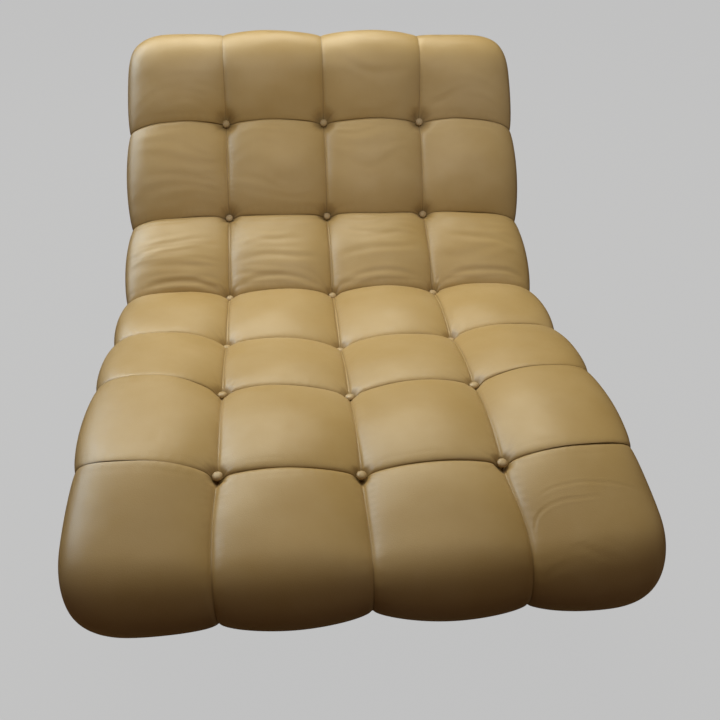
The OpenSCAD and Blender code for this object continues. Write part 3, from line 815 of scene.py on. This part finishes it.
def closeRow(sheet, row):  # joins the side edges to the space inside and caps both ends
    q, v = rowPlaces(sheet)
    inner, low = tuft["innerSide"], tuft["weltHalf"] - pad["halfCore"]
    high = -tuft["fillDepth"]
    insideOutline = [(-inner, low), (-inner, high), (inner, high), (inner, low)]
    end = tuft["endGap"] / rowLength(row)
    work = bmesh.new()
    work.from_mesh(sheet.data)
    ends = [edgeOf(work, v, at, q) for at in (0, 1)]
    pairs = [(a, b, v[a.index]) for a, b in zip(edgeOf(work, q, -weltAt, v), edgeOf(work, q, weltAt, v))]
    loops = []
    for a, b, part in pairs:
        places = [lift(row, mix(end, 1 - end, part), x, height) for x, height in insideOutline]
        loops.append([a, *map(work.verts.new, places), b])
    for here, after in zip(loops, loops[1:]):
        for k in range(len(here) - 1):
            work.faces.new((here[k], here[k + 1], after[k + 1], after[k]))
    for rim, loop in zip(ends, (loops[0], loops[-1])):
        work.faces.new(rim + list(reversed(loop[1:-1])))
    bmesh.ops.recalc_face_normals(work, faces=work.faces)
    work.to_mesh(sheet.data)
    work.free()


sheets = [rowSheet(row) for row in range(1, rows + 1)]
swell(sheets)
for row, sheet in enumerate(sheets, 1):
    addModifier(sheet, "SUBSURF", levels=2, render_levels=2, uv_smooth="NONE")
    applyModifiers(sheet)
    pressDetails(sheet, row)
    closeRow(sheet, row)
    finishPiece(sheet, 60, tuftLeather, "leather", f"tuft_row_{row}")
    print("row", row, "has", len(sheet.data.vertices), "points")


# Buttons: small leather domes drawn down into the tufts

buttonShape = {
    "seats": (0.0050, 0.0050, 0.0060, 0.0050, 0.0070, 0.0085),  # the rims' heights over the line, by row
    "radius": 0.0069,
    "dome": 0.0052,
    "foot": 0.0012,  # where the twine takes hold, over the line
    "throat": 0.0020,
    "domeRings": 8,
    "turns": 40,
    "rimFolds": 9,
    "rimFold": 0.0007,  # depth of the folds below the rim
    "foldReach": 0.003,  # height over the seat at which they have ended
    "mostLean": 0.05,
}


def buttonProfile(seat):  # (radius, height) from the foot up over the rim to the top
    r, foot = buttonShape["radius"], buttonShape["foot"]
    profile = [
        (buttonShape["throat"], foot),
        (0.5 * r, mix(foot, seat, 0.45)),
        (0.90 * r, seat - 0.0006),
        (0.985 * r, seat + 0.0004),
    ]
    for k in range(buttonShape["domeRings"]):
        a = pi / 2 * k / buttonShape["domeRings"]
        profile.append((r * cos(a) ** 0.72, seat + buttonShape["dome"] * (0.18 + 0.82 * sin(a) ** 0.85)))
    return profile


def plainButton(seat):  # stands on the origin, drawn up ring by ring
    profile = buttonProfile(seat)
    foot, height = profile[0]
    turns = buttonShape["turns"]
    bpy.ops.mesh.primitive_circle_add(vertices=turns, radius=foot, fill_type="NGON", location=(0, 0, height))
    button = newest("button")
    settle(button)
    bpy.ops.object.mode_set(mode="EDIT")
    bpy.ops.mesh.select_all(action="SELECT")
    for (r, h), (nextR, nextH) in zip(profile, profile[1:]):
        bpy.ops.mesh.extrude_region_move(TRANSFORM_OT_translate={"value": (0, 0, nextH - h)})
        bpy.ops.transform.resize(value=(nextR / r, nextR / r, 1), center_override=(0, 0, nextH))
    bpy.ops.object.mode_set(mode="OBJECT")
    inOrder(button)
    return button


def foldRim(button, seat, dice):  # the leather is gathered under the rim, and no button sits quite straight
    spin = dice.uniform(0, 6)
    lean = dice.uniform(-buttonShape["mostLean"], buttonShape["mostLean"])
    depth = buttonShape["rimFold"] / buttonShape["radius"]
    for vertex in button.data.vertices:
        turn = atan2(vertex.co.y, vertex.co.x)
        share = clamp(1 - (vertex.co.z - seat) / buttonShape["foldReach"])
        fold = 1 + depth * sin(buttonShape["rimFolds"] * turn + spin) * share
        vertex.co.x *= fold
        vertex.co.y *= fold
        vertex.co.z += lean * vertex.co.x


def buttonRow(row):
    seat = buttonShape["seats"][row - 1]
    plain = plainButton(seat)
    dice = random.Random(row)
    up = mitre(row).normalized()
    buttons = []
    for seam in columnSeams:
        button = plain.copy()
        button.data = plain.data.copy()
        bpy.context.collection.objects.link(button)
        foldRim(button, seat, dice)
        x = seam * pad["tuftWidth"]
        base = buttonLine[row] - up * sag(row + 1, x, 0)
        button.location = (x, base.x, base.y)
        button.rotation_euler = (atan2(-up.x, up.y), 0, 0)
        buttons.append(button)
    bpy.data.objects.remove(plain)
    obj = joined(f"leather_buttons_{row}", buttons)
    finishPiece(obj, 50, buttonLeather, "leather", f"buttons_row_{row}")


for row in range(1, rows):
    buttonRow(row)
print("buttons ready")


# Rear leather: two closed shells with rounded bends, sewn to the tufts along the welts

coverShape = {
    "floor": -0.080,  # heights over the line
    "inside": -0.077,
    "upper": -0.043,
    "sideSteps": 14,
    "middleSteps": 16,
    "bendRadius": 0.050,
    "bendSteps": 6,
    "stepLength": 0.009,
    "slack": 0.0012,
    "slackAcross": 14,  # waves of the slack leather
    "slackAlong": 3.0,
}


def roundedLine(level, radius, spacing):  # points and places along the pad at one level, bends rounded
    corners = [buttonLine[i] + level * mitre(i) for i in range(rows + 1)]
    ways = [(b - a).normalized() for a, b in zip(corners, corners[1:])]
    turns = [abs(a.angle_signed(b)) for a, b in zip(ways, ways[1:])]
    cuts = [0.0, *[radius * tan(turn / 2) for turn in turns], 0.0]  # how far a corner's rounding reaches
    found = []
    for i, way in enumerate(ways):
        length = (corners[i + 1] - corners[i]).length
        straight = length - cuts[i] - cuts[i + 1]
        count = max(2, round(straight / spacing))
        for j in range(count + 1):
            s = cuts[i] + straight * j / count
            found.append((corners[i] + way * s, i + s / length))
        if i + 1 < rows:
            start = corners[i + 1] - way * cuts[i + 1]
            finish = corners[i + 1] + ways[i + 1] * cuts[i + 1]
            for j in range(1, coverShape["bendSteps"]):
                t = j / coverShape["bendSteps"]
                bend = (1 - t) ** 2 * start + 2 * t * (1 - t) * corners[i + 1] + t ** 2 * finish
                found.append((bend, i + 1 + (t - 0.5) * 1e-3))
    return found


def coverOutline():  # (x, height) round one section of the cover
    rim = flankStart * pad["tuftWidth"]
    reach = tuft["sideReach"] - tuft["sideTuck"]
    bend = 2 / tuft["sidePower"]
    upper, floorLevel, inside = coverShape["upper"], coverShape["floor"], coverShape["inside"]
    flank = []
    for k in range(coverShape["sideSteps"] + 1):
        a = pi / 2 * k / coverShape["sideSteps"]
        x = rim + reach * max(0.0, cos(a)) ** bend
        flank.append((x, upper + (floorLevel - upper) * max(0.0, sin(a)) ** bend))
    half = coverShape["middleSteps"] // 2
    middle = [(rim * m / half, floorLevel) for m in range(half - 1, -half, -1)]
    inner = tuft["innerSide"]
    inlet = [(-inner, upper), (-inner, inside), (inner, inside), (inner, upper)]
    return flank + middle + [(-x, h) for x, h in reversed(flank)] + inlet


def coverPoint(x, h, s, line, offset, lowWay):
    share = (h - coverShape["upper"]) / (coverShape["floor"] - coverShape["upper"])
    place = line + h * offset + lowWay * clamp(share) ** 2
    if h < coverShape["floor"] + onEdge:
        wave = Vector((x * coverShape["slackAcross"], s * coverShape["slackAlong"], 2.0))
        place = place + offset * coverShape["slack"] * noise.noise(wave)
    return x, place.x, place.y


def tubePiece(name, points, n):  # joins rings of n points each and caps both ends
    faces = [list(reversed(range(n))), list(range(len(points) - n, len(points)))]
    for base in range(0, len(points) - n, n):
        for k in range(n):
            after = base + (k + 1) % n
            faces.append((base + k, after, after + n, base + n + k))
    obj = meshPiece(name, points, faces)
    faceOutwards(obj)
    return obj


def coverPiece(name, first, last, node):
    floorLine = roundedLine(coverShape["floor"], coverShape["bendRadius"], coverShape["stepLength"])
    floorLine = [(p, s) for p, s in floorLine if first - 1e-9 <= s <= last + 1e-9]
    outline = coverOutline()
    points = []
    for floorPoint, s in floorLine:
        i = min(int(s), rows - 1)
        t = s - i
        if i == first and first > 0:
            t = max(t, tuft["endGap"] / pad["tuftLength"])
        line = mix(buttonLine[i], buttonLine[i + 1], t)
        offset = mix(mitre(i), mitre(i + 1), t)
        lowWay = floorPoint - (line + coverShape["floor"] * offset)
        points += [coverPoint(x, h, s, line, offset, lowWay) for x, h in outline]
    obj = tubePiece(name, points, len(outline))
    finishPiece(obj, 50, coverLeather, "leather", node)


coverPiece("rear_leather_back", 0, seatStart - 1, "back_cover")
coverPiece("rear_leather_seat", seatStart - 1, rows, "seat_cover")
print("covers ready")


# Side welts: a leather piping over a cord, with the small puckers that its seam leaves

weltShape = {
    "radius": 0.0027,
    "sides": 14,
    "level": -0.040,
    "bendRadius": 0.012,
    "spacing": 0.0013,
    "leastStep": 0.0002,
    "pucker": 0.00022,
    "puckerSpacing": 0.0052,
    "inset": 0.001,  # how far the welt's middle lies inside the edge of the leather
}


def weltPiece(label, side, line):  # a round bar along the side seam
    flank = tuft["sideReach"] - tuft["sideTuck"]
    x = side * (flankStart * pad["tuftWidth"] + flank - weltShape["inset"])
    points = []
    run = 0.0
    for k, place in enumerate(line):
        before, after = line[max(k - 1, 0)], line[min(k + 1, len(line) - 1)]
        way = (after - before).normalized()
        normal = Vector((way.y, -way.x))
        run += (place - before).length
        size = weltShape["radius"] + weltShape["pucker"] * sin(2 * pi * run / weltShape["puckerSpacing"])
        for j in range(weltShape["sides"]):
            a = 2 * pi * j / weltShape["sides"]
            spot = place + normal * (size * sin(a))
            points.append((x + size * cos(a), spot.x, spot.y))
    welt = tubePiece(f"welt_{label}", points, weltShape["sides"])
    finishPiece(welt, 60, coverLeather, "leather", f"side_welt_{label}")


weltLine = []
for place, s in roundedLine(weltShape["level"], weltShape["bendRadius"], weltShape["spacing"]):
    if not weltLine or (place - weltLine[-1]).length > weltShape["leastStep"]:
        weltLine.append(place)
weltPiece("left", -1, weltLine)
weltPiece("right", 1, weltLine)
print("welts ready")


# Materials of the frame, the base and the hidden layers

plainLook = {
    "colours": ((0.03, 0.03, 0.032), (0.045, 0.045, 0.047)),
    "roughness": (0.35, 0.5),
    "metal": 0.0,
    "toneScale": 60.0,
    "grainScale": 1400.0,
    "grainDepth": 0.00003,
    "stretch": (1, 1, 1),
}
railLook = {
    "colours": ((0.5, 0.49, 0.47), (0.6, 0.59, 0.57)),
    "roughness": (0.22, 0.34),
    "metal": 1.0,
    "toneScale": 14.0,
    "grainScale": 700.0,
    "grainDepth": 0.00001,
    "stretch": (40, 1, 40),  # brushed along the rails
}
legLook = {**railLook, "roughness": (0.2, 0.32), "stretch": (40, 40, 1)}
zincLook = {
    **plainLook,
    "colours": ((0.42, 0.43, 0.42), (0.58, 0.57, 0.52)),
    "roughness": (0.3, 0.45),
    "metal": 1.0,
    "toneScale": 220.0,
    "grainScale": 1800.0,
    "grainDepth": 0.00002,
}
plasticLook = {
    **plainLook,
    "colours": ((0.012, 0.012, 0.013), (0.022, 0.022, 0.023)),
    "roughness": (0.45, 0.6),
    "toneScale": 80.0,
    "grainScale": 2600.0,
    "grainDepth": 0.00006,
}
webbingLook = {
    "colours": ((0.06, 0.045, 0.03), (0.24, 0.18, 0.11)),
    "thread": 0.0016,  # width of one
    "directions": ("X", "Z"),
}
twineLook = {
    "colours": ((0.42, 0.36, 0.26), (0.8, 0.74, 0.62)),
    "thread": 0.0006,
    "directions": ("X", "DIAGONAL"),
}
foamLook = {
    "pale": (0.78, 0.7, 0.48),
    "dark": (0.52, 0.43, 0.26),
    "cellScale": 900.0,
    "cellDepth": 0.0003,
}


def plainMaterial(name, look):
    material, tree, place = newMaterial(name)
    scaled = addNode(tree, "ShaderNodeMapping", Vector=place, Scale=look["stretch"]).outputs["Vector"]
    tone = addNoise(tree, scaled, look["toneScale"], 5.0, 0.6)
    low, high = look["colours"]
    colour = addRamp(tree, tone, [(0.3, low), (0.7, high)])
    grain = addBump(tree, addNoise(tree, scaled, look["grainScale"]), look["grainDepth"])
    setShader(tree, colour, addRange(tree, tone, look["roughness"]), grain, Metallic=look["metal"])
    return material


def wovenMaterial(name, look):
    material, tree, place = newMaterial(name)
    weave = addNode(tree, "ShaderNodeMath", operation="MULTIPLY")
    for socket, direction in zip(weave.inputs, look["directions"]):
        wave = addNode(tree, "ShaderNodeTexWave", Vector=place, Scale=1 / (20 * look["thread"]),
                       Distortion=0.4, bands_direction=direction)
        tree.links.new(wave.outputs["Fac"], socket)
    low, high = look["colours"]
    colour = addRamp(tree, weave.outputs[0], [(0.05, low), (0.8, high)])
    setShader(tree, colour, 0.85, addBump(tree, weave.outputs[0], 0.2 * look["thread"]))
    return material


def foamMaterial(name, look):
    material, tree, place = newMaterial(name)
    cells = addNode(tree, "ShaderNodeTexVoronoi", Vector=place, Scale=look["cellScale"]).outputs["Distance"]
    colour = addRamp(tree, cells, [(0.1, look["dark"]), (0.7, look["pale"])])
    setShader(tree, colour, 0.95, addBump(tree, cells, look["cellDepth"]))
    return material


satinSteel = plainMaterial("satinSteel", railLook)
corners = ("front_left", "front_right", "rear_left", "rear_right")
legs = [f"leg_{corner}" for corner in corners]
studs = [f"foot_stud_{corner}" for corner in corners]
pads = [f"foot_pad_{corner}" for corner in corners]
tubes = [f"{name}_tube" for name in ("crest", "lumbar", "seat_rear", "seat_front", "nose")]
bars = ["rail_left", "rail_right", "base_bar_front", "base_bar_rear"]
nodeMaterials = [
    (plainMaterial("paintedSteel", plainLook), ["side_tube_left", "side_tube_right", *tubes, "frame_bosses"]),
    (satinSteel, bars),
    (plainMaterial("legSteel", legLook), legs),
    (plainMaterial("zincSteel", zincLook), ["base_bolts", "leg_inserts", "twine_washers", *studs]),
    (plainMaterial("blackPlastic", plasticLook), ["rail_caps", *pads]),
    (wovenMaterial("webbing", webbingLook), ["back_straps", "seat_straps"]),
    (wovenMaterial("twineFibre", twineLook), ["tufting_twines"]),
    (foamMaterial("creamFoam", foamLook), ["back_foam", "seat_foam", "back_underlay", "seat_underlay"]),
]
roundings = {"rail_caps": 0.0009, "base_bolts": 0.0005, "frame_bosses": 0.0005, **dict.fromkeys(bars, 0.0016)}
for material, names in nodeMaterials:
    for name in names:
        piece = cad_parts[name]
        setMaterial(piece, material)
        if name in roundings:
            addModifier(piece, "BEVEL", width=roundings[name], segments=3, limit_method="ANGLE",
                        angle_limit=radians(45), harden_normals=False)
        smoothByAngle(piece, 40)
print("frame finished")


# Weld beads round the heads of the legs

weldShape = {
    "radius": 0.0016,
    "ripple": 0.00025,
    "ripples": 44,
    "steps": 132,
    "sides": 8,
}


def weldRing(leg):
    low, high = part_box(leg)
    centre = Vector(((low.x + high.x) / 2, (low.y + high.y) / 2, high.z))
    ringRadius = (high.x - low.x) / 2
    bpy.ops.mesh.primitive_torus_add(
        location=centre, major_radius=ringRadius, minor_radius=weldShape["radius"],
        major_segments=weldShape["steps"], minor_segments=weldShape["sides"])
    ring = newest(f"weld_{leg}")
    for vertex in ring.data.vertices:
        away = hypot(vertex.co.x, vertex.co.y)
        turn = atan2(vertex.co.y, vertex.co.x)
        size = 1 + weldShape["ripple"] / weldShape["radius"] * sin(weldShape["ripples"] * turn)
        rippled = (ringRadius + (away - ringRadius) * size) / away
        vertex.co = (vertex.co.x * rippled, vertex.co.y * rippled, vertex.co.z * size)
    return ring


welds = joined("leg_welds", [weldRing(leg) for leg in legs])
finishPiece(welds, 60, satinSteel, "base_steel")
print("welds ready")


# Studio

studio = {
    "cameraPlace": (-0.1037, -1.3985, 1.1228),  # measured from the waist in y
    "cameraTurn": (54.80, -1.395, -5.456),
    "lens": 44.79,
    "sensor": 36,
    "background": 0.552,
    "floorSize": 30,
    "floorGlow": 0.96,  # how much of the floor's look is the background's
    "floorShade": (0.10, 0.055, 0.022, 1),  # what the leather sees of the floor
    "worldColour": (1.0, 0.40, 0.08, 1),
    "worldStrength": 0.050,
}
softLights = {  # place, aim, size, power and colour
    "keySoftbox": ((-0.5, 1.45, 2.5), (0, -0.1, 0.3), (2.4, 1.6), 66, (1.0, 0.975, 0.82)),
    "leftWindow": ((-1.7, 0.65, 1.5), (0, -0.1, 0.3), (2.0, 1.3), 50, (0.66, 0.84, 1.0)),
    "overheadSoftbox": ((0.1, -0.6, 2.8), (0, 0.0, 0.3), (1.8, 1.4), 8.2, (1.0, 0.96, 0.90)),
    "backFill": ((0.0, -0.5, 1.55), (0, 1.0, 1.45), (1.2, 0.7), 10.4, (0.86, 0.90, 1.0)),
}


def addLight(name, **sight):  # what else is given says which rays see it
    place, aim, size, power, colour = softLights[name]
    bpy.ops.object.light_add(type="AREA", location=place)
    light = bpy.context.active_object
    setAll(light, name=name, **sight)
    setAll(light.data, shape="RECTANGLE", size=size[0], size_y=size[1], energy=power, color=colour)
    light.rotation_euler = (Vector(aim) - light.location).to_track_quat("-Z", "Y").to_euler()


def addCamera():
    place = Vector(studio["cameraPlace"]) + Vector((0, waist.x, 0))
    bpy.ops.object.camera_add(location=place, rotation=[radians(a) for a in studio["cameraTurn"]])
    camera = bpy.context.active_object
    setAll(camera.data, lens=studio["lens"], sensor_width=studio["sensor"])
    bpy.context.scene.camera = camera


def mixShaders(tree, amount, first, second):
    choose = tree.nodes.new("ShaderNodeMixShader")
    for socket, source in zip(choose.inputs, (amount, first, second)):
        if isinstance(source, float):
            socket.default_value = source
        else:
            tree.links.new(source, socket)
    return choose.outputs[0]


def floorMaterial():  # pale to the camera, and dark to the light that the leather gets back from it
    material, tree, place = newMaterial("studioFloor")
    plain = tree.nodes["Principled BSDF"]
    wire(tree, plain, Roughness=0.9, **{"Base Color": (0.5, 0.5, 0.5, 1)})
    glow = addNode(tree, "ShaderNodeEmission", Color=(1, 1, 1, 1), Strength=studio["background"])
    pale = mixShaders(tree, studio["floorGlow"], plain.outputs[0], glow.outputs[0])
    dark = addNode(tree, "ShaderNodeBsdfDiffuse", Color=studio["floorShade"])
    path = tree.nodes.new("ShaderNodeLightPath")
    bounced = addNode(tree, "ShaderNodeMath", operation="MAXIMUM")
    tree.links.new(path.outputs["Is Diffuse Ray"], bounced.inputs[0])
    tree.links.new(path.outputs["Is Glossy Ray"], bounced.inputs[1])
    surface = mixShaders(tree, bounced.outputs[0], pale, dark.outputs[0])
    wire(tree, tree.nodes["Material Output"], Surface=surface)
    return material


def addFloor():
    bpy.ops.mesh.primitive_plane_add(size=studio["floorSize"], location=(0, 6, 0))
    floor = newest("floor")
    settle(floor)
    setMaterial(floor, floorMaterial())


def addWorld():
    world = bpy.data.worlds.new("studioWorld")
    bpy.context.scene.world = world
    world.use_nodes = True
    tree = world.node_tree
    sky = wire(tree, tree.nodes["Background"], Color=studio["worldColour"], Strength=studio["worldStrength"])
    wall = addNode(tree, "ShaderNodeBackground", Color=(1, 1, 1, 1), Strength=studio["background"])
    seen = tree.nodes.new("ShaderNodeLightPath").outputs["Is Camera Ray"]
    surface = mixShaders(tree, seen, sky.outputs[0], wall.outputs[0])
    wire(tree, tree.nodes["World Output"], Surface=surface)


addCamera()
addLight("keySoftbox")
addLight("leftWindow", visible_diffuse=False)  # it only gives the sheen on the left flanks
addLight("overheadSoftbox")
addLight("backFill", visible_camera=False, visible_glossy=False)
addFloor()
addWorld()
bpy.context.scene.view_settings.view_transform = "Standard"
print("studio ready")
